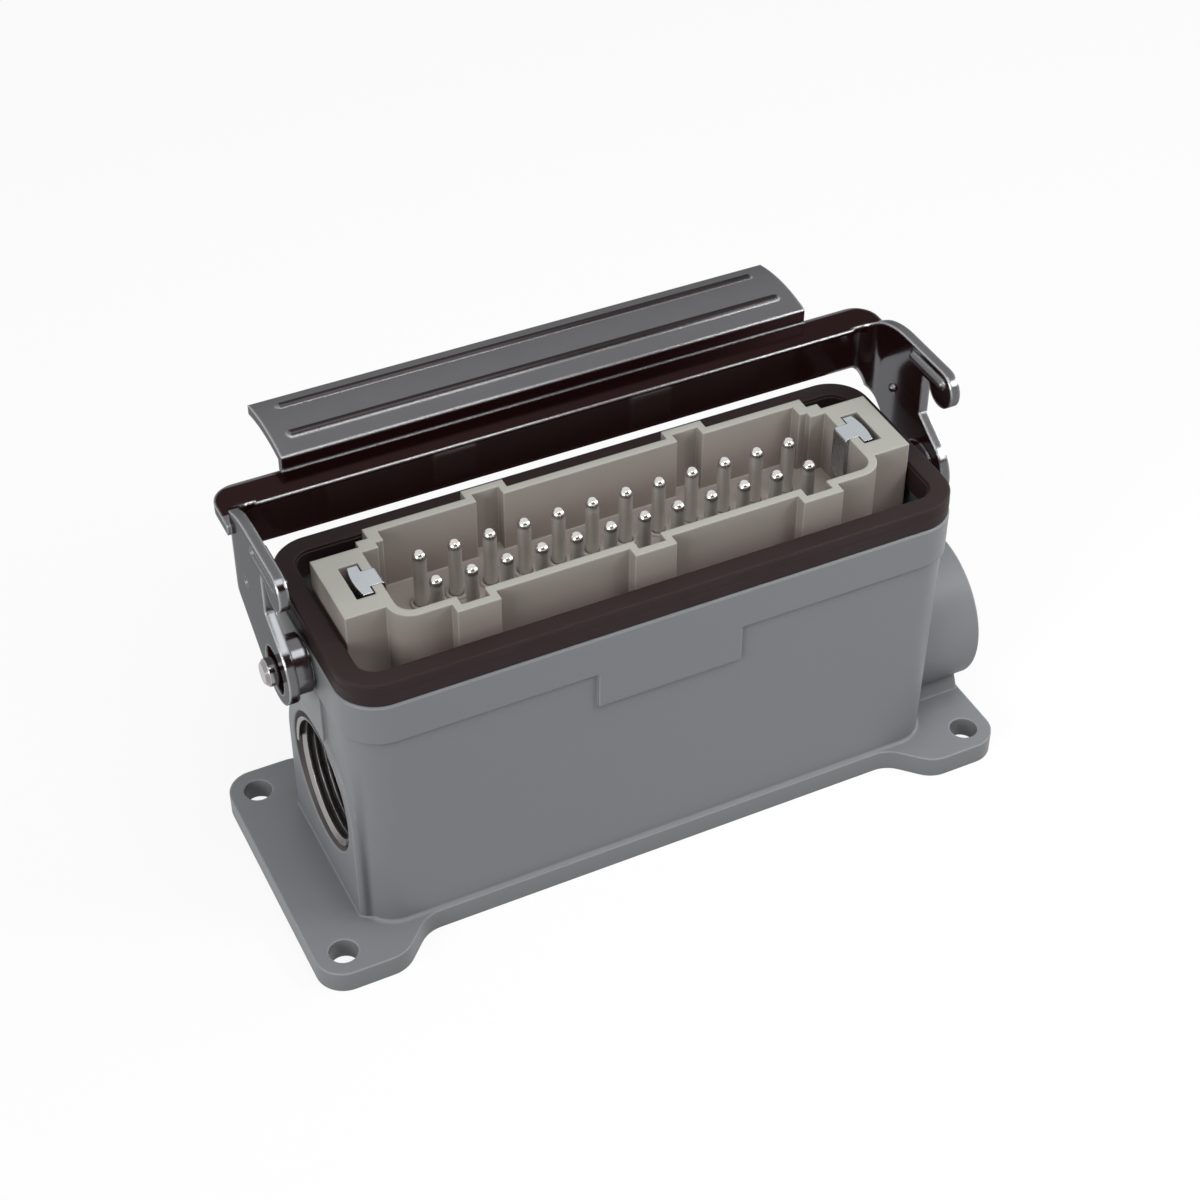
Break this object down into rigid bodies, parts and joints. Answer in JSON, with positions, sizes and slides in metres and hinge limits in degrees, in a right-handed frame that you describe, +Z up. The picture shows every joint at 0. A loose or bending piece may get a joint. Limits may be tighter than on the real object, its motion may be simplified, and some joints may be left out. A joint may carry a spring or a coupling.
{
  "type": "heavy duty connector",
  "caption": "Rectangular heavy duty connector: cast surface mounting housing with threaded cable entries, rim seal, screw terminal pin insert and a folded locking lever on pivot pins.",
  "frame": {"origin": "middle of the flange's underside, which is the mounting face", "axes": "+X along the housing to the end with the projecting entry tube, +Y from the plain front to the side where the lever's handle is, +Z up out of the mating side"},
  "size_m": [0.1435, 0.0725, 0.0796],
  "materials": {
    "housing": "grey powder coat on a die cast aluminium body",
    "seal": "matt black rubber",
    "carrier": "moulded plastic, warm grey",
    "contact": "silver plated",
    "screw": "zinc plated",
    "earth_clip": "nickel plated",
    "pivot_pin": "polished",
    "lever": "dark polished steel sheet"
  },
  "bodies": {
    "base": {"housing_base": "housing", "rim_seal": "seal", "contact_carrier": "carrier", "contact_pin_01": "contact", "contact_pin_02": "contact", "contact_pin_03": "contact", "contact_pin_04": "contact", "contact_pin_05": "contact", "contact_pin_06": "contact", "contact_pin_07": "contact", "contact_pin_08": "contact", "contact_pin_09": "contact", "contact_pin_10": "contact", "contact_pin_11": "contact", "contact_pin_12": "contact", "contact_pin_13": "contact", "contact_pin_14": "contact", "contact_pin_15": "contact", "contact_pin_16": "contact", "contact_pin_17": "contact", "contact_pin_18": "contact", "contact_pin_19": "contact", "contact_pin_20": "contact", "contact_pin_21": "contact", "contact_pin_22": "contact", "contact_pin_23": "contact", "contact_pin_24": "contact", "terminal_screws": "screw", "fixing_screws": "screw", "earth_clip_left": "earth_clip", "earth_clip_right": "earth_clip", "earth_screws": "screw", "pivot_pin_left": "pivot_pin", "pivot_pin_right": "pivot_pin"},
    "lever": {"locking_lever": "lever"}
  },
  "joints": [
    {"name": "lever_pivot", "type": "hinge", "parent": "base", "child": "lever", "pos_m": [0, 0, 0.055], "axis": [1, 0, 0], "range_deg": [-50, 0]}
  ]
}
